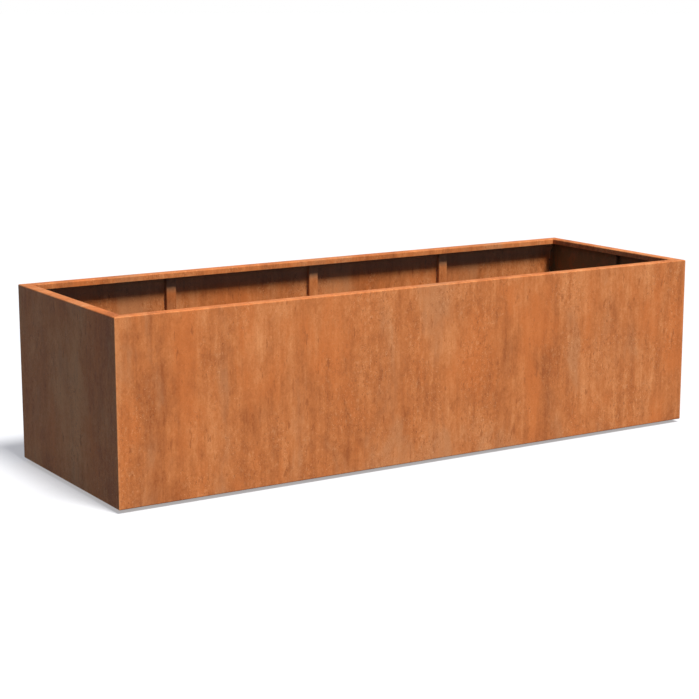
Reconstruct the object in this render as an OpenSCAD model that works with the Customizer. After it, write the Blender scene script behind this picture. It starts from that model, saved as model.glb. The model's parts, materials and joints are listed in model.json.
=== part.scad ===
// Long planter box in weathering steel, standing free on rubber feet.
// Four folded walls are mitred at the rim and welded at the corners. Ribs stiffen the walls
// from the inside, tie bars join opposite ribs, and a two-piece floor tray lies on bearers.
// Origin: centre of the footprint, on the ground. +X along the length, +Z up. Millimetres.

/* [Planter] */
// Overall length
length = 3000; // [2400:50:3600]
// Overall width
width = 1000; // [800:10:1200]
// Overall height above the ground
height = 800; // [600:10:1000]
// Gap between the ground and the foot of the walls
ground_gap = 15; // [10:1:25]

/* [Sheet and folds] */
// Thickness of the steel sheet
sheet = 3; // [2:0.5:4]
// Outside radius of every fold
fold_r = 5; // [4.5:0.5:6]
// Width of the rim that folds inward at the top
rim_w = 50; // [40:1:70]
// Depth of the lip that turns down from the rim
lip_d = 25; // [18:1:35]
// Width of the return that folds inward at the foot of each wall
return_w = 40; // [35:1:55]

/* [Corner tabs] */
// Width of the end walls' tabs, which lap inside the long walls
tab_w = 32; // [26:1:45]
// Distance from the top of the planter down to the tab, at the corner
tab_drop = 32; // [28:1:45]
// Height of the slanted cut at the top and foot of the tab's free edge
tab_slant = 38; // [20:1:60]
// Distance from the foot of the wall up to the tab
tab_rise = 12; // [8:1:20]

/* [Ribs] */
// Width of a rib
rib_w = 50; // [40:1:80]
// Depth of a rib, from the wall
rib_d = 20; // [15:1:40]
// Distance between the ribs of a long wall
rib_pitch = 765; // [600:5:800]
// Gap between a rib's top and the top of the planter
rib_drop = 10; // [8:1:20]

/* [Floor] */
// Number of bearers under the tray
bearer_count = 5; // [3:2:7]
// Width of a bearer
bearer_w = 60; // [50:1:80]
// Height of a bearer
bearer_h = 40; // [30:1:50]
// Distance from the planter's end to the last bearer's middle
bearer_end = 150; // [120:5:200]
// Gap between the tray and the walls
tray_gap = 4.5; // [4.5:0.5:8]
// Gap between the two halves of the tray
tray_split = 2; // [1:0.5:6]
// Diameter of a drain hole
drain_d = 40; // [20:1:60]
// Distance between the two rows of drain holes
drain_rows = 500; // [300:10:600]

/* [Feet] */
// Diameter of a rubber foot
foot_d = 70; // [50:1:80]
// Distance between the rows of feet, if the width leaves room for it
foot_pitch = 380; // [280:5:400]
// Diameter of the bolt that holds a foot
foot_bolt_d = 10; // [8:1:12]

/* [Tie bars] */
// Height of the tie bars above the ground
tie_z = 430; // [300:10:500]
// Height of a tie bar's section
tie_h = 40; // [35:1:60]
// Thickness of a tie bar and of its lugs
tie_t = 6; // [5:1:10]
// Length of a lug, from the rib
lug_len = 60; // [55:1:90]
// Diameter of the bolt that joins a tie bar to its lug
tie_bolt_d = 12; // [10:1:14]

/* [Welds] */
// Leg of a fillet weld
weld_leg = 4; // [2:0.5:4]
// Length of a stitch of weld
stitch_len = 60; // [30:5:70]
// Number of stitches along each edge of a rib or tab
stitch_count = 4; // [2:1:5]

/* [Hidden] */
ARC = 96;
HEX = 6;
SIDES = [-1, 1];
LONG_PLACES = ["left", "centre", "right"];

RUST = "#B5693C";
DARK_RUST = "#8A4B2B";
WELD = "#94593A";
ZINC = "#A9ADB0";
RUBBER = "#222222";

slack = 0.1;               // gap round a bolt's thread in its nut
hole_slack = 1;            // how much wider a bolt's hole is than the bolt

wall_foot = ground_gap;
floor_rest = wall_foot + sheet;                // top of the walls' foot returns
tray_under = floor_rest + bearer_h;
tray_top = tray_under + sheet;

tab_foot = wall_foot + tab_rise;
tab_top = height - tab_drop;
fold_foot = wall_foot + fold_r;                // where a wall's flat face starts
fold_top = height - fold_r;                    // and where it ends
end_flat = width / 2 - sheet - fold_r;         // half of an end wall between its tab folds

rib_foot = tray_top;
rib_top = height - rib_drop;
rib_face = width / 2 - sheet - rib_d;          // inner face of the ribs on the long walls

tray_x = length / 2 - sheet - tray_gap;
tray_y = width / 2 - sheet - tray_gap;
bearer_pitch = (length - 2 * bearer_end) / (bearer_count - 1);
bearer_len = 2 * (tray_y - sheet - weld_leg - 2);
bays = bearer_count - 1;

foot_h = floor_rest;
foot_sink_d = 2.4 * foot_bolt_d;               // pocket for the bolt's head
foot_sink_h = 0.8 * foot_bolt_d;
foot_washer = 2;
foot_edge = 2;                                 // bevel round the foot
foot_clear = 5;                                // least gap between a foot and a wall's return
foot_row = min(foot_pitch, width / 2 - return_w - foot_clear - foot_d / 2);

lug_edge = 20;                                 // from a bolt to the end of its bar or lug
tie_bolt_y = rib_face - lug_len + lug_edge;
tie_half = tie_bolt_y + lug_edge;
tie_washer = 2.5;

stitch_low = rib_foot + 60;
stitch_high = height - 170;

function rib_x(i) = (i - 1) * rib_pitch;
function bearer_x(i) = -length / 2 + bearer_end + i * bearer_pitch;
function stitch_z(i) = stitch_low + i * (stitch_high - stitch_low) / (stitch_count - 1);

// ---------- shared shapes ----------

// A wall's own frame: x along the wall, y inward from its outside face, z up.
module on_front() {
    translate([0, -width / 2, 0]) children();
}

module on_back() {
    rotate(180) on_front() children();
}

module on_left_end() {
    translate([-length / 2, 0, 0]) rotate(-90) children();
}

module on_right_end() {
    rotate(180) on_left_end() children();
}

// Sweeps a section drawn as (inward, up) along a wall.
module along_wall(span) {
    translate([-span / 2, 0, 0]) rotate([90, 0, 90]) linear_extrude(span) children();
}

// A quarter turn of sheet round a centre, in the quadrant that its signs name.
module fold(centre, signs) {
    translate(centre) intersection() {
        difference() {
            circle(r = fold_r, $fn = ARC);
            circle(r = fold_r - sheet, $fn = ARC);
        }
        translate([min(signs.x, 0), min(signs.y, 0)] * fold_r) square(fold_r);
    }
}

// A channel's section: legs on y = 0, web across y = depth.
module channel(across, depth) {
    for (side = SIDES) {
        fold([side * (across / 2 - fold_r), depth - fold_r], [side, 1]);
        translate([side * (across - sheet) / 2 - sheet / 2, 0]) square([sheet, depth - fold_r]);
    }
    translate([fold_r - across / 2, depth - sheet]) square([across - 2 * fold_r, sheet]);
}

module hex_head(bolt_d, tall) {
    cylinder(d = 1.8 * bolt_d, h = tall, $fn = HEX);
}

module hex_nut(bolt_d, tall) {
    difference() {
        hex_head(bolt_d, tall);
        translate([0, 0, -1]) cylinder(d = bolt_d + slack, h = tall + 2, $fn = ARC);
    }
}

module washer(bolt_d, tall) {
    difference() {
        cylinder(d = 2.1 * bolt_d, h = tall, $fn = ARC);
        translate([0, 0, -1]) cylinder(d = bolt_d + hole_slack, h = tall + 2, $fn = ARC);
    }
}

// A bar of fillet weld along x, in the corner between y = 0 and z = 0.
module fillet(span) {
    translate([-span / 2, 0, 0]) rotate([90, 0, 90]) linear_extrude(span)
        polygon([[0, 0], [weld_leg, 0], [0, weld_leg]]);
}

// Vertical stitches in the corner between x = 0 and y = 0, on the side of x that side names.
module stitches(side) {
    for (i = [0 : stitch_count - 1])
        translate([0, 0, stitch_z(i)]) linear_extrude(stitch_len)
            polygon([[0, 0], [side * weld_leg, 0], [0, weld_leg]]);
}

// ---------- walls ----------

module rim_section() {
    fold([fold_r, height - fold_r], [-1, 1]);
    translate([fold_r, height - sheet]) square([rim_w - 2 * fold_r, sheet]);
    fold([rim_w - fold_r, height - fold_r], [1, 1]);
    translate([rim_w - sheet, height - lip_d]) square([sheet, lip_d - fold_r]);
}

module foot_section() {
    fold([fold_r, wall_foot + fold_r], [-1, -1]);
    translate([fold_r, wall_foot]) square([return_w - fold_r, sheet]);
}

// Cuts a wall's rim and foot return at 45 degrees, to meet the next wall's.
module mitred(span) {
    reach = rim_w + return_w;
    intersection() {
        along_wall(span) children();
        linear_extrude(2 * height)
            polygon([[-span / 2, 0], [span / 2, 0], [span / 2 - reach, reach], [reach - span / 2, reach]]);
    }
}

module long_wall() {
    mitred(length) rim_section();
    translate([-length / 2, 0, fold_foot]) cube([length, sheet, fold_top - fold_foot]);
    mitred(length) foot_section();
}

// An end wall's tab on its +x side, folded back against the inside of the long wall.
module tab() {
    translate([0, 0, tab_foot]) linear_extrude(tab_top - tab_foot) fold([end_flat, fold_r], [1, -1]);
    translate([end_flat + fold_r - sheet, 0, 0]) rotate([90, 0, 90]) linear_extrude(sheet)
        polygon([
            [fold_r, tab_foot], [tab_w, tab_foot + tab_slant],
            [tab_w, tab_top - tab_slant], [fold_r, tab_top]
        ]);
}

module end_wall() {
    mitred(width) rim_section();
    translate([-end_flat, 0, fold_foot]) cube([2 * end_flat, sheet, fold_top - fold_foot]);
    for (z = [[fold_foot, tab_foot], [tab_top, fold_top]])
        translate([-end_flat - fold_r, 0, z[0]]) cube([2 * (end_flat + fold_r), sheet, z[1] - z[0]]);
    mitred(width) foot_section();
    for (side = SIDES) mirror([side < 0 ? 1 : 0, 0, 0]) tab();
}

module rib() {
    color(RUST) translate([0, sheet, rib_foot]) linear_extrude(rib_top - rib_foot) channel(rib_w, rib_d);
}

// ---------- floor ----------

module tray_edge() {
    fold([-fold_r, tray_top - fold_r], [1, 1]);
    translate([-sheet, floor_rest]) square([sheet, tray_top - fold_r - floor_rest]);
}

// The right half of the floor: a plate whose three outer edges turn down as skirts.
module floor_tray() {
    inner_x = tray_split / 2;
    plate_x = tray_x - fold_r;
    plate_y = tray_y - fold_r;
    color(DARK_RUST) difference() {
        union() {
            translate([inner_x, -plate_y, tray_under]) cube([plate_x - inner_x, 2 * plate_y, sheet]);
            for (side = SIDES) mirror([0, side < 0 ? 1 : 0, 0])
                translate([inner_x, tray_y, 0]) rotate([90, 0, 90])
                    linear_extrude(plate_x - inner_x) tray_edge();
            translate([tray_x, plate_y, 0]) rotate([90, 0, 0]) linear_extrude(2 * plate_y) tray_edge();
        }
        for (i = [0 : bays / 2 - 1]) for (side = SIDES)
            translate([(i + 0.5) * bearer_pitch, side * drain_rows / 2, tray_under - 1])
                cylinder(d = drain_d, h = sheet + 2, $fn = ARC);
    }
}

module at_feet(x) {
    for (i = SIDES) translate([x, i * foot_row, 0]) children();
    translate([x, 0, 0]) children();
}

module at_all_feet() {
    for (i = [0 : bearer_count - 1]) at_feet(bearer_x(i)) children();
}

module floor_bearer(i) {
    color(DARK_RUST) difference() {
        translate([bearer_x(i), bearer_len / 2, floor_rest + bearer_h]) rotate([90, 0, 0])
            linear_extrude(bearer_len) mirror([0, 1]) channel(bearer_w, bearer_h);
        at_feet(bearer_x(i)) translate([0, 0, floor_rest - 1])
            cylinder(d = foot_bolt_d + hole_slack, h = sheet + 2, $fn = ARC);
    }
}

// ---------- feet ----------

module foot_pads() {
    outer = foot_d / 2;
    bore = (foot_bolt_d + hole_slack) / 2;
    color(RUBBER) at_all_feet() rotate_extrude($fn = ARC)
        polygon([
            [bore, foot_sink_h], [foot_sink_d / 2, foot_sink_h], [foot_sink_d / 2, 0],
            [outer - foot_edge, 0], [outer, foot_edge],
            [outer, foot_h - foot_edge], [outer - foot_edge, foot_h], [bore, foot_h]
        ]);
}

module foot_bolts() {
    head_h = 0.64 * foot_bolt_d;
    grip = foot_h - foot_sink_h + sheet + foot_washer;
    color(ZINC) at_all_feet() translate([0, 0, foot_sink_h]) {
        translate([0, 0, -head_h]) hex_head(foot_bolt_d, head_h);
        cylinder(d = foot_bolt_d, h = grip + 1.2 * foot_bolt_d, $fn = ARC);
    }
}

module foot_washers() {
    color(ZINC) at_all_feet() translate([0, 0, foot_h + sheet]) washer(foot_bolt_d, foot_washer);
}

module foot_nuts() {
    color(ZINC) at_all_feet() translate([0, 0, foot_h + sheet + foot_washer])
        hex_nut(foot_bolt_d, 0.8 * foot_bolt_d);
}

// ---------- tie bars ----------

// Puts a shape at every tie bolt, with its z axis along the bolt.
module at_tie_bolts() {
    for (i = [0 : 2]) for (side = SIDES)
        translate([rib_x(i), side * tie_bolt_y, tie_z]) rotate([0, 90, 0]) children();
}

module tie_bar(i) {
    color(RUST) difference() {
        translate([rib_x(i), -tie_half, tie_z - tie_h / 2]) cube([tie_t, 2 * tie_half, tie_h]);
        for (side = SIDES) translate([rib_x(i) - 1, side * tie_bolt_y, tie_z]) rotate([0, 90, 0])
            cylinder(d = tie_bolt_d + hole_slack, h = tie_t + 2, $fn = ARC);
    }
}

module tie_lugs() {
    color(RUST) difference() {
        for (i = [0 : 2]) for (side = SIDES) mirror([0, side < 0 ? 1 : 0, 0])
            translate([rib_x(i) - tie_t, rib_face - lug_len, tie_z - tie_h / 2])
                cube([tie_t, lug_len, tie_h]);
        at_tie_bolts() translate([0, 0, -tie_t - 1])
            cylinder(d = tie_bolt_d + hole_slack, h = tie_t + 2, $fn = ARC);
    }
}

module tie_bolts() {
    head_h = 0.63 * tie_bolt_d;
    shank = 2 * (tie_t + tie_washer) + 1.1 * tie_bolt_d;
    color(ZINC) at_tie_bolts() translate([0, 0, tie_t + tie_washer]) {
        hex_head(tie_bolt_d, head_h);
        translate([0, 0, -shank]) cylinder(d = tie_bolt_d, h = shank, $fn = ARC);
    }
}

module tie_washers() {
    color(ZINC) at_tie_bolts() for (z = [tie_t, -tie_t - tie_washer])
        translate([0, 0, z]) washer(tie_bolt_d, tie_washer);
}

module tie_nuts() {
    nut_h = 0.8 * tie_bolt_d;
    color(ZINC) at_tie_bolts() translate([0, 0, -tie_t - tie_washer - nut_h]) hex_nut(tie_bolt_d, nut_h);
}

// ---------- welds ----------

// The groove outside each tab's fold, filled and ground flush with the end wall.
module corner_welds() {
    color(WELD) for (turn = [0, 180]) rotate(turn) on_left_end()
        for (side = SIDES) mirror([side < 0 ? 1 : 0, 0, 0])
            translate([0, 0, tab_foot]) linear_extrude(tab_top - tab_foot) difference() {
                translate([end_flat, 0]) square(fold_r);
                translate([end_flat, fold_r]) circle(r = fold_r, $fn = ARC);
            }
}

// A half-round bead under each mitre of the rim.
module mitre_welds() {
    start = 2 * fold_r;
    bead_len = (rim_w - sheet - start - weld_leg) * sqrt(2);
    color(WELD) for (x = SIDES) for (y = SIDES) mirror([x < 0 ? 1 : 0, 0, 0]) mirror([0, y < 0 ? 1 : 0, 0])
        translate([length / 2 - start, width / 2 - start, height - sheet]) rotate(-135)
            rotate([90, 0, 90]) linear_extrude(bead_len) intersection() {
                circle(d = weld_leg, $fn = ARC);
                translate([-weld_leg, -2 * weld_leg]) square(2 * weld_leg);
            }
}

module tab_welds() {
    edge = length / 2 - tab_w;
    color(WELD) for (turn = [0, 180]) rotate(turn) on_front()
        for (side = SIDES) translate([side * edge, sheet, 0]) stitches(-side);
}

module rib_edge_welds() {
    for (side = SIDES) translate([side * rib_w / 2, sheet, 0]) stitches(side);
}

module rib_welds() {
    color(WELD) for (turn = [0, 180]) rotate(turn) {
        on_front() for (i = [0 : 2]) translate([rib_x(i), 0, 0]) rib_edge_welds();
        on_left_end() rib_edge_welds();
    }
}

module bearer_welds() {
    color(WELD) for (turn = [0, 180]) rotate(turn) for (i = [0 : bearer_count - 1])
        translate([bearer_x(i), bearer_len / 2, floor_rest]) fillet(bearer_w - 4 * fold_r);
}

module lug_welds() {
    color(WELD) for (y = SIDES) mirror([0, y < 0 ? 1 : 0, 0]) for (i = [0 : 2]) for (side = SIDES)
        translate([rib_x(i) + (side - 1) * tie_t / 2, rib_face, tie_z - tie_h / 2])
            linear_extrude(tie_h) polygon([[0, 0], [side * weld_leg, 0], [0, -weld_leg]]);
}

// ---------- assembly ----------

color(RUST) on_front() long_wall();  // front_panel
color(RUST) on_back() long_wall();  // back_panel
color(RUST) on_left_end() end_wall();  // left_end_panel
color(RUST) on_right_end() end_wall();  // right_end_panel

for (i = [0 : 2]) {
    place = LONG_PLACES[i];
    translate([rib_x(i), 0, 0]) on_front() rib();
    translate([rib_x(i), 0, 0]) on_back() rib();
    tie_bar(i);
}
on_left_end() rib();  // left_end_rib
on_right_end() rib();  // right_end_rib

rotate(180) floor_tray();  // floor_tray_left
floor_tray();  // floor_tray_right
for (i = [0 : bearer_count - 1]) {
    floor_bearer(i);
}

foot_pads();
foot_bolts();
foot_washers();
foot_nuts();

tie_lugs();
tie_bolts();
tie_washers();
tie_nuts();

corner_welds();
mitre_welds();
tab_welds();
rib_welds();
bearer_welds();
lug_welds();
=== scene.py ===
import json
import math

import bmesh
import bpy
from mathutils import Matrix, Vector


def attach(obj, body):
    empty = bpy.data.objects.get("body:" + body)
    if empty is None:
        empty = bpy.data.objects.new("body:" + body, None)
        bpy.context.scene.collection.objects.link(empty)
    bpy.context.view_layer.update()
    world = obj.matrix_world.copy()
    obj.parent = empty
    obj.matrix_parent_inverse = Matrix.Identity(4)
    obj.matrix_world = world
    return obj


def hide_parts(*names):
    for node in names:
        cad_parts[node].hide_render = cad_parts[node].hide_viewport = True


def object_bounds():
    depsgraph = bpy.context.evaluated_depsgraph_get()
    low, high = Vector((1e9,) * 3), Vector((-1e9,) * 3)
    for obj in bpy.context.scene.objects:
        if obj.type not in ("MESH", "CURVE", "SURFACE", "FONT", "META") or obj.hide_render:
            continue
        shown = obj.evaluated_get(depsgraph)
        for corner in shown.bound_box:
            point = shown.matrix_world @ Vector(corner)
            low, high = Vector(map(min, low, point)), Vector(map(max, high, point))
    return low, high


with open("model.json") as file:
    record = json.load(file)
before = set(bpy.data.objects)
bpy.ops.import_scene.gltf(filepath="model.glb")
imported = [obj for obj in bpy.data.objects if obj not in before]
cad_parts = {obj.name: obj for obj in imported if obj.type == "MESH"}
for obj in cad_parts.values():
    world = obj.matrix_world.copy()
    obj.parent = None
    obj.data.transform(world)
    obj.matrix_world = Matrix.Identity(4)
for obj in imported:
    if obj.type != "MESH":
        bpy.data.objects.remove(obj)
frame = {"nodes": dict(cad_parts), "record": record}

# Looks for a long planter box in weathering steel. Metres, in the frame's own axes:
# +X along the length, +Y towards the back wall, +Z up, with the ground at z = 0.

NODES = frame["nodes"]
MOUNTS = frame["record"]["mounts"]
CAD_LOW, CAD_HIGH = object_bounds()
MM = 0.001
SCENE = bpy.context.scene


def link(name, data):
    made = bpy.data.objects.new(name, data)
    SCENE.collection.objects.link(made)
    return made


# ---------- camera ----------

VIEW_AZIMUTH = math.radians(-32.234)
VIEW_ELEVATION = math.radians(11.029)
VIEW_DISTANCE = 8.190
AIM = Vector((-0.0252, 0.1126, 0.4183))
LENS = 89.977
CLIP_END = 2000


def add_camera():
    camera = link("camera", bpy.data.cameras.new("camera"))
    back = Vector((
        math.sin(VIEW_AZIMUTH) * math.cos(VIEW_ELEVATION),
        -math.cos(VIEW_AZIMUTH) * math.cos(VIEW_ELEVATION),
        math.sin(VIEW_ELEVATION),
    ))
    camera.location = AIM + back * VIEW_DISTANCE
    camera.rotation_euler = (-back).to_track_quat("-Z", "Y").to_euler()
    camera.data.lens = LENS
    camera.data.clip_end = CLIP_END
    SCENE.camera = camera


# ---------- light and floor ----------

KEY_DIRECTION = Vector((-0.08, 0.49, -1.0))
KEY_SPREAD = math.radians(15)
KEY_POWER = 5.75
FILL_DIRECTION = Vector((0.1, 1.0, 0.0))
FILL_SPREAD = math.radians(8)
FILL_POWER = 1.24
SKY = (0.110, 0.191, 0.316, 1)
FLOOR_REACH = 600
DOME_SUBDIVISIONS = 4
WHITE = (1, 1, 1, 1)
FLOOR_TONE = 0.37
SHADOW_TONE = (0.394, 0.376, 0.372, 1)


def add_sun(name, direction, spread, power):
    sun = link(name, bpy.data.lights.new(name, "SUN"))
    sun.rotation_euler = direction.to_track_quat("-Z", "Y").to_euler()
    sun.data.angle = spread
    sun.data.energy = power


def add_lights():
    add_sun("key", KEY_DIRECTION, KEY_SPREAD, KEY_POWER)
    add_sun("front_fill", FILL_DIRECTION, FILL_SPREAD, FILL_POWER)
    world = bpy.data.worlds.new("studio")
    world.use_nodes = True
    world.node_tree.nodes["Background"].inputs["Color"].default_value = SKY
    SCENE.world = world
    SCENE.view_settings.view_transform = "Standard"


def stage_material(name, tone, glow):
    """A matt grey that also glows. In full shadow only the glow is left."""
    material = bpy.data.materials.new(name)
    material.use_nodes = True
    shader = material.node_tree.nodes["Principled BSDF"].inputs
    shader["Base Color"].default_value = (tone, tone, tone, 1)
    shader["Specular IOR Level"].default_value = 0
    shader["Emission Color"].default_value = glow
    shader["Emission Strength"].default_value = 1
    return material


def add_floor():
    mesh = bpy.data.meshes.new("floor")
    r = FLOOR_REACH
    mesh.from_pydata([(-r, -r, 0), (r, -r, 0), (r, r, 0), (-r, r, 0)], [], [(0, 1, 2, 3)])
    mesh.materials.append(stage_material("floor", FLOOR_TONE, SHADOW_TONE))
    floor = link("floor", mesh)
    floor.visible_diffuse = False


def add_backdrop():
    """A white dome that only the camera sees, behind everything."""
    mesh = bpy.data.meshes.new("backdrop")
    form = bmesh.new()
    bmesh.ops.create_icosphere(form, subdivisions=DOME_SUBDIVISIONS, radius=FLOOR_REACH)
    form.to_mesh(mesh)
    form.free()
    mesh.materials.append(stage_material("backdrop", tone=0, glow=WHITE))
    dome = link("backdrop", mesh)
    for ray in ("diffuse", "glossy", "transmission", "volume_scatter", "shadow"):
        setattr(dome, "visible_" + ray, False)


# ---------- writing materials ----------

NO_SHIFT = (0, 0, 0)


class Shader:
    """A material whose nodes are made by short calls. Most of them return an output socket."""

    def __init__(self, name):
        self.material = bpy.data.materials.new(name)
        self.material.use_nodes = True
        self.tree = self.material.node_tree
        self.surface = self.tree.nodes["Principled BSDF"].inputs
        coordinates = self.add("ShaderNodeTexCoord").outputs
        self.place = coordinates["Object"]
        self.normal = coordinates["Normal"]

    def add(self, kind, **settings):
        node = self.tree.nodes.new(kind)
        for name, value in settings.items():
            setattr(node, name, value)
        return node

    def put(self, socket, value):
        if isinstance(value, bpy.types.NodeSocket):
            self.tree.links.new(value, socket)
        else:
            socket.default_value = value

    def stretch(self, pack, shift):
        """The place of a point, packed more or less closely along each axis, and shifted."""
        node = self.add("ShaderNodeMapping")
        self.put(node.inputs["Vector"], self.place)
        self.put(node.inputs["Location"], shift)
        self.put(node.inputs["Scale"], pack)
        return node.outputs["Vector"]

    def noise(self, pack, shift, detail, roughness, distortion=0.0):
        vector = self.stretch(pack, shift)
        node = self.add("ShaderNodeTexNoise")
        self.put(node.inputs["Vector"], vector)
        self.put(node.inputs["Scale"], 1.0)
        self.put(node.inputs["Detail"], detail)
        self.put(node.inputs["Roughness"], roughness)
        self.put(node.inputs["Distortion"], distortion)
        return node.outputs["Fac"]

    def cells(self, pack, shift, scale):
        """How far a point is from the middle of its cell."""
        vector = self.stretch(pack, shift)
        node = self.add("ShaderNodeTexVoronoi")
        self.put(node.inputs["Vector"], vector)
        self.put(node.inputs["Scale"], scale)
        return node.outputs["Distance"]

    def part(self, vector, axis):
        """The x, y or z part of a vector."""
        node = self.add("ShaderNodeSeparateXYZ")
        self.put(node.inputs["Vector"], vector)
        return node.outputs[axis]

    def reach(self, vector, point):
        """How far vector is from a point."""
        node = self.add("ShaderNodeVectorMath", operation="DISTANCE")
        self.put(node.inputs[0], vector)
        self.put(node.inputs[1], point)
        return node.outputs["Value"]

    def math(self, operation, a, b=0.0, c=0.0):
        node = self.add("ShaderNodeMath", operation=operation)
        for socket, value in zip(node.inputs, (a, b, c)):
            self.put(socket, value)
        return node.outputs["Value"]

    def times(self, a, b):
        return self.math("MULTIPLY", a, b)

    def ease(self, value, low, high, to_low=0.0, to_high=1.0):
        """A smooth step from to_low at low to to_high at high."""
        node = self.add("ShaderNodeMapRange", interpolation_type="SMOOTHSTEP")
        for name, number in zip(("Value", "From Min", "From Max", "To Min", "To Max"),
                                (value, low, high, to_low, to_high)):
            self.put(node.inputs[name], number)
        return node.outputs["Result"]

    def fall(self, value, low, high):
        """A smooth step from 1 at low to 0 at high."""
        return self.ease(value, low, high, 1, 0)

    def blend(self, factor, a, b):
        node = self.add("ShaderNodeMix", data_type="RGBA", blend_type="MIX")
        self.put(node.inputs["Factor"], factor)
        self.put(node.inputs[6], a if not isinstance(a, tuple) else (*a, 1))
        self.put(node.inputs[7], b if not isinstance(b, tuple) else (*b, 1))
        return node.outputs[2]

    def ramp(self, value, stops):
        node = self.add("ShaderNodeValToRGB")
        bar = node.color_ramp.elements
        while len(bar) < len(stops):
            bar.new(0.5)
        for element, (at, colour) in zip(bar, stops):
            element.position = at
            element.color = (*colour, 1)
        self.put(node.inputs["Fac"], value)
        return node.outputs["Color"]

    def bump(self, height, distance, strength=0.5):
        node = self.add("ShaderNodeBump")
        self.put(node.inputs["Height"], height)
        self.put(node.inputs["Distance"], distance)
        self.put(node.inputs["Strength"], strength)
        self.put(self.surface["Normal"], node.outputs["Normal"])


def seeded(seed, strides):
    """The shift that a seed gives to a material's noises."""
    return tuple(seed * stride for stride in strides)


# ---------- weathering steel ----------

# Colours.
DEEP = (0.285, 0.066, 0.006)
BODY = (0.465, 0.132, 0.025)
PALE = (0.610, 0.217, 0.063)
TAN = (0.440, 0.170, 0.057)
FLAME = (0.540, 0.132, 0.018)
# Pale specks and grains, also used as a painted highlight on the tabs' cut edges.
PALE_SPECK_AND_HIGHLIGHT = (0.800, 0.430, 0.190)
PIT = (0.180, 0.043, 0.005)
# Painted shade: a greyer tint for the inside under the rim, where its shadow falls.
RIM_SHADE_TINT = (0.215, 0.235, 0.150)
# Painted shade: a dark olive for the inside of the end walls, which lie in shade.
END_WALL_SHADE = (0.155, 0.096, 0.028)
# Painted shadow: a near black line just under the lip.
LIP_SHADOW_LINE = (0.030, 0.020, 0.014)
RUST_RAMP = ((0.16, DEEP), (0.50, BODY), (0.84, PALE))

# How closely each pattern is packed along x, y and z. A low z draws it out down the sheet.
GRAIN_PACK = (100, 100, 75)
PATCH_PACK = (25, 25, 14)
ROUGH_PACK = (6, 6, 3.5)
BAND_PACK = (3.0, 3.0, 0.42)
RUN_PACK = (23, 23, 2.1)
BLOTCH_PACK = (3.6, 3.6, 2.2)
DRIFT_PACK = (3.9, 3.9, 1.5)
SCAB_PACK = (62, 62, 36)
WEB_PACK = (30, 30, 20)
FLECK_PACK = (38, 38, 11)
DARK_SPECK_PACK = (230, 230, 200)
PALE_GRAIN_PACK = (170, 170, 150)
PIT_PACK = (1, 1, 0.7)
PITS_PER_METRE = 55
RUST_STRIDES = (3.7, 5.3, 1.9)

# How much each pattern moves the colour along the ramp, from a value that is lower near the ground.
BAND_WEIGHT = 0.62
BLOTCH_WEIGHT = 0.88
RUN_WEIGHT = 0.97
PATCH_WEIGHT = 0.72
GRAIN_WEIGHT = 0.56
NOISE_MIDDLE = 0.5
DAMP_VALUE = (0.46, 0.505)

# Between which values of its pattern, or of the surface's direction, each mask changes.
ROUGH_RANGE = (0.44, 0.60)
TAN_RANGE = (0.50, 0.66)
FLAME_RANGE = (0.50, 0.34)
PALE_SCAB_RANGE = (0.575, 0.605)
DARK_SCAB_RANGE = (0.425, 0.390)
WEB_LINE = (0.0, 0.018)
WEB_GAPS = (0.42, 0.55)
FLECK_RANGE = (0.60, 0.66)
DARK_SPECK_RANGE = (0.57, 0.66)
PALE_GRAIN_RANGE = (0.60, 0.68)
PIT_RANGE = (0.08, 0.20)
# Where the grain breaks up the painted corner highlight.
CORNER_HIGHLIGHT_GAPS = (0.35, 0.55)
# Where the painted end-wall shade is broken into lighter patches.
END_SHADE_PATCH_RANGE = (0.38, 0.54)
# Which way a face must turn to get the painted highlight on the tabs' cut edges.
EDGE_FACING = (0.5, 0.7)
GLOSS_RANGE = (0.3, 0.7)

# Heights above the ground, and distances in from the sides of the box.
DAMP = (0.02, 0.17)
# Heights of the painted shade under the rim and of the painted shadow line under the lip.
RIM_SHADE_HEIGHTS = (0.69, 0.74)
LIP_SHADOW_HEIGHTS = (0.740, 0.772)
LIP_TOP = (794 * MM, 796 * MM)
OUTSIDE = (0.5 * MM, 2.5 * MM)
# How far from an upright corner the painted highlight reaches.
CORNER_HIGHLIGHT_REACH = (4 * MM, 11 * MM)
RIB_REACH = (38 * MM, 44 * MM)
# Where the painted highlight on the tabs' cut edges and slanted tops lies.
TAB_FOLD = (4.4 * MM, 4.8 * MM)
TAB_REACH = (33 * MM, 34 * MM)
TAB_DEPTH = (6.5 * MM, 7.0 * MM)

WALL_BREADTH = 1.0
END_BREADTH = 1.7
# How weak the painted end-wall shade gets in its lighter patches.
END_SHADE_LEAST = 0.55
RUST_ROUGHNESS = (0.86, 0.66)
RUST_SPECULAR = 0.45
RUST_RELIEF = 0.7 * MM
GRAIN_RISE = 0.8
PATCH_RISE = 0.4
PALE_GRAIN_RISE = 0.20
PIT_RISE = -0.3


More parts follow.
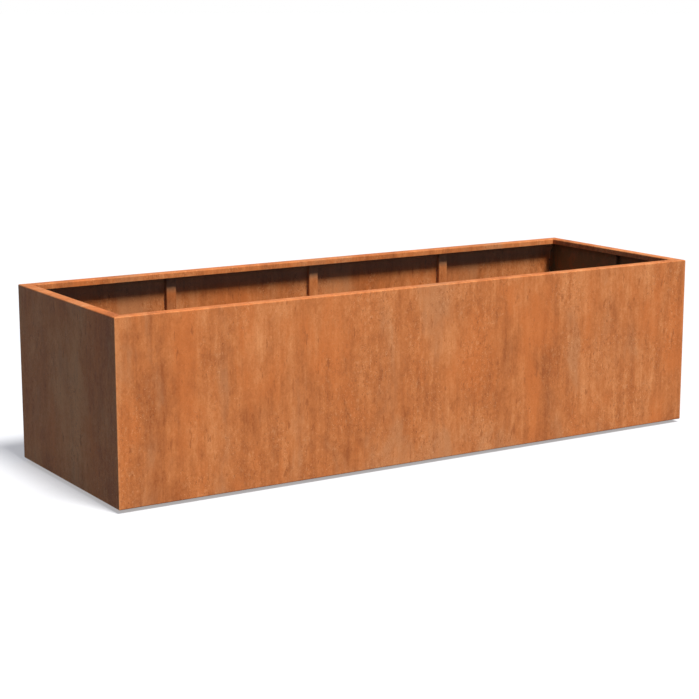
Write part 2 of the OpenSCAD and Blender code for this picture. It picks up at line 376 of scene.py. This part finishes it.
class Rust(Shader):
    """Weathering steel. Its layers are blended in turn, and settle() ends it."""

    def __init__(self, name, seed):
        super().__init__(name)
        a, b, c = seeded(seed, RUST_STRIDES)
        self.shift = (a, b, c)
        self.other = (b, c, a)
        self.grain = self.noise(GRAIN_PACK, self.shift, detail=8, roughness=0.76)
        self.patches = self.noise(PATCH_PACK, self.shift, detail=8, roughness=0.68, distortion=0.3)
        rough = self.noise(ROUGH_PACK, self.shift, detail=4, roughness=0.6, distortion=0.3)
        self.rough = self.ease(rough, *ROUGH_RANGE)

    def height(self):
        return self.part(self.place, "Z")

    def roughest(self, least):
        """1 where the rust is rough, and least where it is smooth."""
        return self.math("MULTIPLY_ADD", self.rough, 1 - least, least)

    def lay(self, mask, colour, strength):
        self.colour = self.blend(self.times(mask, strength), self.colour, colour)

    def weather(self, breadth):
        """Bands and runs down the sheet and blotches from orange to tan, darker near the ground.
        With more breadth, the bands and blotches are stronger and the fine runs weaker."""
        bands = self.noise(BAND_PACK, self.shift, detail=3, roughness=0.55)
        runs = self.noise(RUN_PACK, self.shift, detail=7, roughness=0.69)
        blotches = self.noise(BLOTCH_PACK, self.other, detail=8, roughness=0.64, distortion=0.3)
        layers = (
            (bands, BAND_WEIGHT * breadth),
            (blotches, BLOTCH_WEIGHT * breadth),
            (runs, RUN_WEIGHT / breadth),
            (self.patches, PATCH_WEIGHT),
            (self.grain, GRAIN_WEIGHT),
        )
        value = self.ease(self.height(), *DAMP, *DAMP_VALUE)
        for layer, weight in layers:
            value = self.math("MULTIPLY_ADD", self.math("SUBTRACT", layer, NOISE_MIDDLE), weight, value)
        self.colour = self.ramp(value, RUST_RAMP)
        drift = self.noise(DRIFT_PACK, self.other, detail=6, roughness=0.62, distortion=0.3)
        self.lay(self.ease(drift, *TAN_RANGE), TAN, strength=0.66)
        self.lay(self.ease(drift, *FLAME_RANGE), FLAME, strength=0.56)

    def crackle(self):
        """Small crisp scabs, pale or dark, and broken dark lines, mostly where the rust is rough."""
        scabs = self.noise(SCAB_PACK, self.other, detail=7, roughness=0.62)
        pale = self.times(self.ease(scabs, *PALE_SCAB_RANGE), self.rough)
        self.lay(pale, PALE_SPECK_AND_HIGHLIGHT, strength=0.13)
        dark = self.times(self.ease(scabs, *DARK_SCAB_RANGE), self.roughest(0.15))
        self.lay(dark, DEEP, strength=0.45)
        web = self.noise(WEB_PACK, self.other, detail=6, roughness=0.6, distortion=0.3)
        line = self.fall(self.math("ABSOLUTE", self.math("SUBTRACT", web, NOISE_MIDDLE)), *WEB_LINE)
        broken = self.times(self.ease(self.grain, *WEB_GAPS), self.rough)
        self.lay(self.times(line, broken), DEEP, strength=0.80)

    def speckle(self):
        """Short dark flecks that run down the sheet, dark specks, pale grains and small pits."""
        flecks = self.noise(FLECK_PACK, self.other, detail=6, roughness=0.66)
        self.lay(self.ease(flecks, *FLECK_RANGE), DEEP, strength=0.70)
        specks = self.noise(DARK_SPECK_PACK, self.shift, detail=5, roughness=0.66)
        self.lay(self.ease(specks, *DARK_SPECK_RANGE), DEEP, strength=0.50)
        grains = self.noise(PALE_GRAIN_PACK, self.other, detail=5, roughness=0.66)
        self.grains = self.times(self.ease(grains, *PALE_GRAIN_RANGE), self.roughest(0.3))
        self.lay(self.grains, PALE_SPECK_AND_HIGHLIGHT, strength=0.55)
        pits = self.cells(PIT_PACK, self.shift, PITS_PER_METRE)
        self.pits = self.times(self.fall(pits, *PIT_RANGE), self.rough)
        self.lay(self.pits, PIT, strength=0.6)

    def insets(self):
        """How far in from the planter's long sides and from its ends a point is."""
        return [
            self.math("SUBTRACT", CAD_HIGH[i], self.math("ABSOLUTE", self.part(self.place, axis)))
            for i, axis in ((1, "Y"), (0, "X"))
        ]

    def paint_corner_highlight(self):
        """A painted highlight down the upright corners, broken up by the grain."""
        long_side, end = self.insets()
        # A painted highlight along the upright corners.
        corner = self.fall(self.math("ADD", long_side, end), *CORNER_HIGHLIGHT_REACH)
        self.lay(self.times(corner, self.ease(self.grain, *CORNER_HIGHLIGHT_GAPS)), PALE, strength=0.55)

    def paint_rim_shade(self):
        """Painted shade high on the inside, greyer where the rim's shadow falls, and a dark painted shadow
        line under the lip.
        """
        inset = self.math("MINIMUM", *self.insets())
        inside = self.times(self.ease(inset, *OUTSIDE), self.fall(inset, *RIB_REACH))
        inside = self.times(inside, self.fall(self.height(), *LIP_TOP))
        self.lay(self.times(inside, self.ease(self.height(), *RIM_SHADE_HEIGHTS)), RIM_SHADE_TINT, strength=0.34)
        self.lay(self.times(inside, self.ease(self.height(), *LIP_SHADOW_HEIGHTS)), LIP_SHADOW_LINE, strength=0.65)

    def paint_end_shade_and_tab_highlight(self):
        """Painted shade on the inside of an end wall and its rib, broken into patches, and a painted
        highlight on the tabs' cut edges.
        """
        long_side, end = self.insets()
        inside = self.times(self.ease(end, *OUTSIDE), self.ease(long_side, *OUTSIDE))
        inside = self.times(inside, self.fall(end, *RIB_REACH))
        inside = self.times(inside, self.fall(self.height(), *LIP_TOP))
        # Painted shade on the end walls' insides, broken into patches.
        end_shade_patches = self.ease(self.patches, *END_SHADE_PATCH_RANGE, END_SHADE_LEAST, 1)
        self.lay(self.times(inside, end_shade_patches), END_WALL_SHADE, strength=0.82)
        # A painted highlight on the tabs' cut edges and slanted tops.
        edge = self.ease(self.math("ABSOLUTE", self.part(self.normal, "X")), *EDGE_FACING)
        edge = self.times(edge, self.ease(end, *TAB_FOLD))
        edge = self.times(edge, self.fall(end, *TAB_REACH))
        self.lay(self.times(edge, self.fall(long_side, *TAB_DEPTH)), PALE_SPECK_AND_HIGHLIGHT, strength=0.9)

    def settle(self, dull, bright):
        """Gives the colour, a roughness from dull to bright and a relief to the surface."""
        self.put(self.surface["Base Color"], self.colour)
        self.put(self.surface["Roughness"], self.ease(self.grain, *GLOSS_RANGE, dull, bright))
        self.put(self.surface["Specular IOR Level"], RUST_SPECULAR)
        relief = self.math("MULTIPLY_ADD", self.grain, GRAIN_RISE, self.times(self.patches, PATCH_RISE))
        for layer, rise in ((self.grains, PALE_GRAIN_RISE), (self.pits, PIT_RISE)):
            relief = self.math("MULTIPLY_ADD", layer, rise, relief)
        self.bump(relief, RUST_RELIEF)
        return self.material


def weathering_steel(name, seed, at_end=False):
    rust = Rust(name, seed)
    rust.weather(END_BREADTH if at_end else WALL_BREADTH)
    rust.crackle()
    rust.speckle()
    # A painted highlight on the corners, painted shade high inside under the rim, and at the ends painted
    # shade inside with a painted highlight on the tabs.
    rust.paint_corner_highlight()
    rust.paint_rim_shade()
    if at_end:
        rust.paint_end_shade_and_tab_highlight()
    return rust.settle(*RUST_ROUGHNESS)


# ---------- the tray's steel ----------

SCALE = (0.048, 0.040, 0.034)
SILT = (0.30, 0.20, 0.125)
WET = (0.030, 0.016, 0.010)
FLOOR_BREADTH = 1.2
FLOOR_ROUGHNESS = (0.75, 0.45)
SKIN_PACK = (7, 7, 7)
SKIN_RANGE = (0.46, 0.58)
SKIN_LEAST = 0.76
WARP_PACK = (5, 5, 5)
WARP_REACH = 0.20
FAR_FROM_DRAINS = 9.0
WET_REACH = (0.04, 0.15)
TIDES = ((0.09, 0.20), (0.14, 0.36), (0.20, 0.18))
TIDE_INNER = 0.030
TIDE_OUTER = 0.008
TIDE_GAPS = (0.35, 0.60)


def floor_steel(name, seed):
    """Rust under a dark skin of mill scale and soil, with tide marks round the drain holes."""
    rust = Rust(name, seed)
    rust.weather(FLOOR_BREADTH)
    rust.speckle()
    skin = rust.noise(SKIN_PACK, rust.other, detail=8, roughness=0.66)
    rust.lay(rust.ease(skin, *SKIN_RANGE, 1, SKIN_LEAST), SCALE, strength=0.96)
    span = FAR_FROM_DRAINS
    for mount in MOUNTS:
        if mount["name"].startswith("drain_"):
            span = rust.math("MINIMUM", span, rust.reach(rust.place, tuple(mount["pos_m"])))
    warp = rust.noise(WARP_PACK, rust.shift, detail=3, roughness=0.45)
    span = rust.math("MULTIPLY_ADD", rust.math("SUBTRACT", warp, NOISE_MIDDLE), WARP_REACH, span)
    rust.lay(rust.fall(span, *WET_REACH), WET, strength=0.8)
    for edge, strength in TIDES:
        tide = rust.ease(rust.math("SUBTRACT", span, edge), -TIDE_INNER, 0.0)
        tide = rust.times(tide, rust.fall(span, edge, edge + TIDE_OUTER))
        rust.lay(rust.times(tide, rust.ease(rust.grain, *TIDE_GAPS)), SILT, strength)
    return rust.settle(*FLOOR_ROUGHNESS)


# ---------- weld metal, zinc and rubber ----------

BEAD_DARK = (0.130, 0.048, 0.020)
BEAD_RUST = (0.400, 0.120, 0.024)
BEAD_HEAT = (0.090, 0.075, 0.090)
BEAD_STRIDES = (2.3, 1.1, 4.9)
BEAD_RUST_PACK = (70, 70, 70)
BEAD_HEAT_PACK = (26, 26, 26)
BEAD_FINE_PACK = (420, 420, 420)
BEAD_RELIEF = 0.25 * MM


def weld_metal(name, seed):
    """Dark beads that rust in patches, with purplish grey tints left by the heat."""
    s = Shader(name)
    shift = seeded(seed, BEAD_STRIDES)
    rust = s.noise(BEAD_RUST_PACK, shift, detail=5, roughness=0.65)
    colour = s.blend(s.ease(rust, 0.38, 0.62), BEAD_DARK, BEAD_RUST)
    heat = s.noise(BEAD_HEAT_PACK, shift, detail=3, roughness=0.6)
    colour = s.blend(s.ease(heat, 0.54, 0.66, to_high=0.5), colour, BEAD_HEAT)
    fine = s.noise(BEAD_FINE_PACK, shift, detail=3, roughness=0.6)
    s.put(s.surface["Base Color"], colour)
    s.put(s.surface["Metallic"], s.ease(rust, 0.38, 0.60, to_low=0.5, to_high=0.0))
    s.put(s.surface["Roughness"], s.ease(rust, 0.35, 0.65, to_low=0.42, to_high=0.85))
    s.bump(s.math("MULTIPLY_ADD", rust, 0.6, s.times(fine, 0.4)), BEAD_RELIEF)
    return s.material


ZINC_BRIGHT = (0.56, 0.57, 0.58)
ZINC_DULL = (0.37, 0.38, 0.38)
ZINC_STAIN = (0.33, 0.15, 0.05)
ZINC_STRIDES = (1.3, 2.9, 0.7)
ZINC_CLOUD_PACK = (150, 150, 150)
ZINC_BRUSH_PACK = (900, 900, 160)
ZINC_STAIN_PACK = (60, 60, 40)
ZINC_RELIEF = 0.08 * MM


def zinc_plate(name, seed):
    """Plated steel with cloudy grey patches, fine brushing and rust stains."""
    s = Shader(name)
    shift = seeded(seed, ZINC_STRIDES)
    clouds = s.noise(ZINC_CLOUD_PACK, shift, detail=4, roughness=0.6)
    brush = s.noise(ZINC_BRUSH_PACK, shift, detail=3, roughness=0.6)
    colour = s.blend(s.ease(clouds, 0.35, 0.65), ZINC_BRIGHT, ZINC_DULL)
    stain = s.ease(s.noise(ZINC_STAIN_PACK, shift, detail=5, roughness=0.7), 0.52, 0.64)
    colour = s.blend(s.times(stain, 0.75), colour, ZINC_STAIN)
    s.put(s.surface["Base Color"], colour)
    s.put(s.surface["Metallic"], s.ease(stain, 0, 1, to_low=0.95, to_high=0.2))
    rough = s.ease(clouds, 0.3, 0.7, to_low=0.26, to_high=0.46)
    rough = s.math("MULTIPLY_ADD", brush, 0.15, rough)
    s.put(s.surface["Roughness"], s.math("MULTIPLY_ADD", stain, 0.3, rough))
    s.bump(s.math("MULTIPLY_ADD", brush, 0.4, s.times(clouds, 0.6)), ZINC_RELIEF)
    return s.material


RUBBER_DARK = (0.014, 0.014, 0.015)
RUBBER_WORN = (0.045, 0.043, 0.041)
RUBBER_DUST = (0.22, 0.13, 0.075)
RUBBER_WEAR_PACK = (70, 70, 70)
RUBBER_FINE_PACK = (700, 700, 700)
RUBBER_RELIEF = 0.12 * MM
DUST_HEIGHTS = (0.002, 0.014)
DUST_LEAST = 0.25


def rubber(name):
    """Moulded rubber, worn grey in patches, with rusty dust that gathers low down."""
    s = Shader(name)
    wear = s.noise(RUBBER_WEAR_PACK, NO_SHIFT, detail=4, roughness=0.65)
    fine = s.noise(RUBBER_FINE_PACK, NO_SHIFT, detail=3, roughness=0.7)
    colour = s.blend(s.ease(wear, 0.40, 0.65), RUBBER_DARK, RUBBER_WORN)
    low_down = s.ease(s.part(s.place, "Z"), *DUST_HEIGHTS, 1, DUST_LEAST)
    dust = s.times(s.ease(wear, 0.45, 0.60), low_down)
    colour = s.blend(s.times(dust, 0.6), colour, RUBBER_DUST)
    s.put(s.surface["Base Color"], colour)
    s.put(s.surface["Roughness"], s.ease(wear, 0.3, 0.7, to_low=0.62, to_high=0.85))
    s.bump(s.math("MULTIPLY_ADD", fine, 0.5, s.times(wear, 0.5)), RUBBER_RELIEF)
    return s.material


# ---------- reading the CAD solids ----------

SAME_POINT = 0.01 * MM


def solids(name):
    """The separate solids of a CAD node, each as a list of its corners."""
    form = bmesh.new()
    form.from_mesh(NODES[name].data)
    bmesh.ops.remove_doubles(form, verts=form.verts, dist=SAME_POINT)
    waiting = set(form.verts)
    found = []
    while waiting:
        reached = [waiting.pop()]
        for vertex in reached:
            near = {edge.other_vert(vertex) for edge in vertex.link_edges} & waiting
            reached.extend(near)
            waiting -= near
        found.append([vertex.co.copy() for vertex in reached])
    form.free()
    return sorted(found, key=lambda corners: tuple(sum(corners, Vector())))


class Solid:
    """Where a CAD solid is: its corners, its box, and its axes from the shortest to the longest."""

    def __init__(self, corners):
        self.corners = corners
        self.low = Vector([min(corner[i] for corner in corners) for i in range(3)])
        self.high = Vector([max(corner[i] for corner in corners) for i in range(3)])
        self.size = self.high - self.low
        self.middle = (self.low + self.high) / 2
        self.axes = sorted(range(3), key=lambda i: self.size[i])


def unit(axis):
    return Vector([1.0 if i == axis else 0.0 for i in range(3)])


def placed(at, x_way, z_way):
    """The matrix that puts a shape made about the origin at a point, with its x and z axes turned."""
    columns = Matrix((x_way, z_way.cross(x_way), z_way)).transposed()
    return Matrix.Translation(at) @ columns.to_4x4()


# ---------- making pieces ----------

class Form:
    """Skins that are gathered into the mesh of one piece."""

    def __init__(self):
        self.points = []
        self.faces = []

    def skin(self, rings, place, looped=False):
        """Joins rings of equally many points. The ends meet if it is looped, and are closed if not."""
        start = len(self.points)
        count = len(rings[0])
        for ring in rings:
            self.points.extend(place @ point for point in ring)
        rows = len(rings)
        for i in range(rows if looped else rows - 1):
            a = start + i * count
            b = start + (i + 1) % rows * count
            for j in range(count):
                k = (j + 1) % count
                self.faces.append((a + j, a + k, b + k, b + j))
        if not looped:
            last = start + (rows - 1) * count
            self.faces.append(tuple(start + j for j in reversed(range(count))))
            self.faces.append(tuple(last + j for j in range(count)))

    def piece(self, name, material, node, smooth_angle):
        """Makes the piece, which replaces a CAD node. Edges sharper than the angle stay sharp."""
        mesh = bpy.data.meshes.new(name)
        mesh.from_pydata(self.points, [], self.faces)
        mesh.materials.append(material)
        form = bmesh.new()
        form.from_mesh(mesh)
        bmesh.ops.recalc_face_normals(form, faces=form.faces)
        form.to_mesh(mesh)
        form.free()
        mesh.shade_smooth()
        mesh.set_sharp_from_angle(angle=math.radians(smooth_angle))
        made = link(name, mesh)
        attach(made, "root")
        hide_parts(node)


def ring(radius, z, count):
    """A ring about the z axis. Its radius and height are numbers, or functions of the angle."""
    made = []
    for j in range(count):
        angle = math.tau * j / count
        r = radius(angle) if callable(radius) else radius
        h = z(angle) if callable(z) else z
        made.append(Vector((r * math.cos(angle), r * math.sin(angle), h)))
    return made


# ---------- weld beads ----------

BEAD_STEP = 0.8 * MM
BEAD_SIDES = 7
BEAD_CROWN = 0.5
BEAD_RUNOUT = 2.2 * MM
RIPPLE_PITCH = 3.1 * MM
RIPPLE_BOW = 2.4 * MM
RIPPLE_HEIGHT = 0.22 * MM
BEAD_END = 0.45
BEAD_LEAST_STEPS = 8
BEAD_SMOOTH = 60
# How far a bead's size wavers, over what length, and how its start depends on the seed.
WAVERS = ((0.05, 5.3 * MM, 1.0), (0.03, 1.9 * MM, 2.1))


def bead_root(solid, along):
    """The corner of a fillet where its legs meet, at one end, and the two legs from it."""
    end = [c for c in solid.corners if abs(c[along] - solid.low[along]) < SAME_POINT]
    for i in range(3):
        legs = [end[(i + 1) % 3] - end[i], end[(i + 2) % 3] - end[i]]
        if abs(legs[0].dot(legs[1])) < SAME_POINT ** 2:
            return end[i], legs
    raise ValueError("a fillet has no right angle")


def bead_ring(root, legs, way, s, length, seed):
    """The section of a bead at s along it: its root, then the rippled crown from leg to leg."""
    edge = min(1.0, min(s, length - s) / BEAD_RUNOUT)
    swell = BEAD_END + (1 - BEAD_END) * math.sqrt(edge * (2 - edge))
    swell *= 1 + sum(rise * math.sin(s / span + turn * seed) for rise, span, turn in WAVERS)
    made = [root + way * s]
    for j in range(BEAD_SIDES + 1):
        angle = math.pi / 2 * j / BEAD_SIDES
        across = math.sin(2 * angle)
        flat = 1 / (math.cos(angle) + math.sin(angle))
        span = swell * (flat + (1 - flat) * BEAD_CROWN)
        phase = (s + RIPPLE_BOW * across) / RIPPLE_PITCH + seed
        lift = RIPPLE_HEIGHT * abs(math.sin(math.pi * phase)) * across
        leg = (legs[0] * math.cos(angle) + legs[1] * math.sin(angle)) * span
        made.append(root + way * s + leg + leg.normalized() * lift)
    return made


def weld_beads(node, material):
    """Rippled, rounded beads in place of the plain fillets of a CAD node."""
    form = Form()
    for seed, corners in enumerate(solids(node)):
        solid = Solid(corners)
        along = solid.axes[2]
        root, legs = bead_root(solid, along)
        length = solid.size[along]
        steps = max(BEAD_LEAST_STEPS, round(length / BEAD_STEP))
        rings = [
            bead_ring(root, legs, unit(along), length * i / steps, length, seed)
            for i in range(steps + 1)
        ]
        form.skin(rings, Matrix())
    form.piece(node + "_beads", material, node, BEAD_SMOOTH)


# ---------- fasteners ----------

RING_POINTS = 36
HEX_WIDTH = math.cos(math.pi / 6)
HEX_FACE = 0.94
HEX_CHAMFER = math.tan(math.radians(30))
CORNERS_PER_BOLT = 1.8
PITCH_PER_BOLT = 0.15
THREAD_DEPTH = 0.6
THREAD_STEPS = 6
BURR = 0.25 * MM
FASTENER_SMOOTH = 35


def hex_radius(corner):
    """The radius of a hexagon at an angle, with a corner at 0."""
    return lambda angle: corner * HEX_WIDTH / math.cos(angle % (math.pi / 3) - math.pi / 6)


def hex_edge(corner, z, way):
    """The height at which a hexagon's side meets the cone that takes off its corners."""
    face = corner * HEX_WIDTH * HEX_FACE
    radius = hex_radius(corner)
    return lambda angle: z - way * (radius(angle) - face) * HEX_CHAMFER


def thread_radius(bolt, z):
    """The radius of a screw thread at height z, as a function of the angle."""
    pitch = PITCH_PER_BOLT * bolt

    def radius(angle):
        turn = (z / pitch + angle / math.tau) % 1
        return bolt / 2 - THREAD_DEPTH * pitch * abs(2 * turn - 1)

    return radius


def bolt_rings(bolt, head, shank, thread):
    """A hexagon bolt. Its head rises from z = 0 and its shank hangs below, threaded at the end."""
    corner = CORNERS_PER_BOLT * bolt / 2
    face = corner * HEX_WIDTH * HEX_FACE
    rings = [
        ring(face - BURR, head, RING_POINTS),
        ring(face, head - BURR / 2, RING_POINTS),
        ring(hex_radius(corner), hex_edge(corner, head - BURR / 2, 1), RING_POINTS),
        ring(hex_radius(corner), 2 * BURR, RING_POINTS),
        ring(face, BURR, RING_POINTS),
        ring(face, 0, RING_POINTS),
        ring(bolt / 2, 0, RING_POINTS),
        ring(bolt / 2, thread - shank, RING_POINTS),
    ]
    pitch = PITCH_PER_BOLT * bolt
    steps = round(thread / pitch * THREAD_STEPS)
    for i in range(1, steps):
        z = thread - shank - thread * i / steps
        rings.append(ring(thread_radius(bolt, z), z, RING_POINTS))
    rings.append(ring(bolt / 2 - THREAD_DEPTH * pitch, -shank, RING_POINTS))
    return rings


def nut_rings(corner, hole, tall):
    """A hexagon nut from z = 0, chamfered on both faces and in its hole."""
    face = corner * HEX_WIDTH * HEX_FACE
    return [
        ring(hole, 2 * BURR, RING_POINTS),
        ring(hole + 2 * BURR, 0, RING_POINTS),
        ring(face, 0, RING_POINTS),
        ring(hex_radius(corner), hex_edge(corner, 0, -1), RING_POINTS),
        ring(hex_radius(corner), hex_edge(corner, tall, 1), RING_POINTS),
        ring(face, tall, RING_POINTS),
        ring(hole + 2 * BURR, tall, RING_POINTS),
        ring(hole, tall - 2 * BURR, RING_POINTS),
    ]


def turned(profile, count=RING_POINTS):
    return [ring(radius, z, count) for radius, z in profile]


def bolts(node, bolt, head, thread, material):
    form = Form()
    for corners in solids(node):
        solid = Solid(corners)
        widest, longest = solid.axes[1], solid.axes[2]
        edge = solid.high[widest] - SAME_POINT
        head_at = [c[longest] for c in corners if c[widest] > edge]
        way = 1 if sum(head_at) / len(head_at) > solid.middle[longest] else -1
        at = solid.middle.copy()
        at[longest] += way * (solid.size[longest] / 2 - head)
        rings = bolt_rings(bolt, head, solid.size[longest] - head, thread)
        form.skin(rings, placed(at, unit(widest), unit(longest) * way))
    form.piece(node + "_turned", material, node, FASTENER_SMOOTH)


def nuts(node, bolt, material):
    form = Form()
    for corners in solids(node):
        solid = Solid(corners)
        axis, widest = solid.axes[0], solid.axes[2]
        at = solid.middle.copy()
        at[axis] = solid.low[axis]
        rings = nut_rings(solid.size[widest] / 2, bolt / 2, solid.size[axis])
        form.skin(rings, placed(at, unit(widest), unit(axis)), looped=True)
    form.piece(node + "_chamfered", material, node, FASTENER_SMOOTH)


def washers(node, bolt, slack, material):
    form = Form()
    hole = (bolt + slack) / 2
    for corners in solids(node):
        solid = Solid(corners)
        axis, widest = solid.axes[0], solid.axes[2]
        outer, tall = solid.size[widest] / 2, solid.size[axis]
        at = solid.middle.copy()
        at[axis] = solid.low[axis]
        profile = [
            (hole, BURR), (hole + BURR, 0), (outer - BURR, 0), (outer, BURR),
            (outer, tall - BURR), (outer - BURR, tall), (hole + BURR, tall), (hole, tall - BURR),
        ]
        form.skin(turned(profile), placed(at, unit(widest), unit(axis)), looped=True)
    form.piece(node + "_bevelled", material, node, FASTENER_SMOOTH)


# ---------- rubber pads ----------

PAD_SIDES = 72
PAD_SINK = 12 * MM
PAD_SINK_TALL = 8 * MM
PAD_BORE = 5.5 * MM
PAD_EDGE = 2 * MM
PAD_TREAD = 1.2 * MM
PAD_TREADS = 3
PAD_GROOVES = 2
PAD_ROUND_STEPS = 4
PAD_SMOOTH = 40


def pad_profile(outer, tall):
    """Half the section of a pad: a sunk bore, treads under it, round edges and grooves in its side."""
    profile = [(PAD_BORE, PAD_SINK_TALL), (PAD_SINK, PAD_SINK_TALL), (PAD_SINK, PAD_EDGE / 2)]
    profile.append((PAD_SINK + PAD_EDGE / 2, 0))
    gap = (outer - PAD_EDGE - PAD_SINK) / (PAD_TREADS + 1)
    for i in range(PAD_TREADS):
        r = PAD_SINK + gap * (i + 1)
        profile += [(r - PAD_TREAD, 0), (r - PAD_TREAD / 2, PAD_TREAD)]
        profile += [(r + PAD_TREAD / 2, PAD_TREAD), (r + PAD_TREAD, 0)]
    for i in range(PAD_ROUND_STEPS + 1):
        turn = math.pi / 2 * i / PAD_ROUND_STEPS
        profile.append((outer - PAD_EDGE * (1 - math.sin(turn)), PAD_EDGE * (1 - math.cos(turn))))
    for i in range(PAD_GROOVES):
        z = tall * (i + 1) / (PAD_GROOVES + 1)
        profile += [(outer, z - PAD_TREAD), (outer - PAD_TREAD, z - PAD_TREAD / 2)]
        profile += [(outer - PAD_TREAD, z + PAD_TREAD / 2), (outer, z + PAD_TREAD)]
    for i in range(PAD_ROUND_STEPS + 1):
        turn = math.pi / 2 * i / PAD_ROUND_STEPS
        profile.append((outer - PAD_EDGE * (1 - math.cos(turn)), tall - PAD_EDGE * (1 - math.sin(turn))))
    profile.append((PAD_BORE, tall))
    return profile


def pads(node, material):
    form = Form()
    for corners in solids(node):
        solid = Solid(corners)
        at = Vector((solid.middle.x, solid.middle.y, solid.low.z))
        rings = turned(pad_profile(solid.size.x / 2, solid.size.z), PAD_SIDES)
        form.skin(rings, Matrix.Translation(at), looped=True)
    form.piece(node + "_moulded", material, node, PAD_SMOOTH)


# ---------- the planter ----------

FOOT_BOLT = 10 * MM
TIE_BOLT = 12 * MM
HOLE_SLACK = 1 * MM
WALLS = ("front_panel", "back_panel", "left_end_panel", "right_end_panel")
CAD_WELDS = ("corner_welds", "mitre_welds")
STITCHES = ("rib_welds", "tab_welds", "bearer_welds", "lug_welds")
TRAYS = ("floor_tray_left", "floor_tray_right")
FOOT_HEAD = 0.64 * FOOT_BOLT
TIE_HEAD = 0.63 * TIE_BOLT
THREAD = 7 * MM

# Each panel's rust has a seed of its own, counted from these.
WALL_SEED = 1
FRAME_SEED = 6
TRAY_SEED = 31
WELD_SEED = 41
BEAD_SEED = 3
ZINC_SEED = 5


def finish_node(name, material):
    slots = NODES[name].data.materials
    slots.clear()
    slots.append(material)


def dress_walls():
    for seed, name in enumerate(WALLS, WALL_SEED):
        finish_node(name, weathering_steel(name + "_rust", seed, "end" in name))


def dress_frame():
    """Ribs, bearers, ties and lugs, each cut from its own piece of sheet."""
    frame_nodes = [name for name in NODES if name.split("_")[-1].isdigit() or "_rib" in name]
    frame_nodes += [name for name in NODES if name.startswith("tie_bar") or name == "tie_lugs"]
    for seed, name in enumerate(frame_nodes, FRAME_SEED):
        finish_node(name, weathering_steel(name + "_rust", seed, "end" in name))


def dress_floor():
    for seed, name in enumerate(TRAYS, TRAY_SEED):
        finish_node(name, floor_steel(name + "_rust", seed))


def add_welds():
    for seed, name in enumerate(CAD_WELDS, WELD_SEED):
        finish_node(name, weathering_steel(name + "_rust", seed))
    bead_metal = weld_metal("weld_metal", BEAD_SEED)
    for name in STITCHES:
        weld_beads(name, bead_metal)


def add_fasteners():
    zinc = zinc_plate("zinc_plate", ZINC_SEED)
    bolts("foot_bolts", FOOT_BOLT, FOOT_HEAD, THREAD, zinc)
    nuts("foot_nuts", FOOT_BOLT, zinc)
    washers("foot_washers", FOOT_BOLT, HOLE_SLACK, zinc)
    bolts("tie_bolts", TIE_BOLT, TIE_HEAD, THREAD, zinc)
    nuts("tie_nuts", TIE_BOLT, zinc)
    washers("tie_washers", TIE_BOLT, HOLE_SLACK, zinc)


add_camera()
add_lights()
add_floor()
add_backdrop()
dress_walls()
dress_frame()
dress_floor()
add_welds()
add_fasteners()
pads("foot_pads", rubber("rubber"))
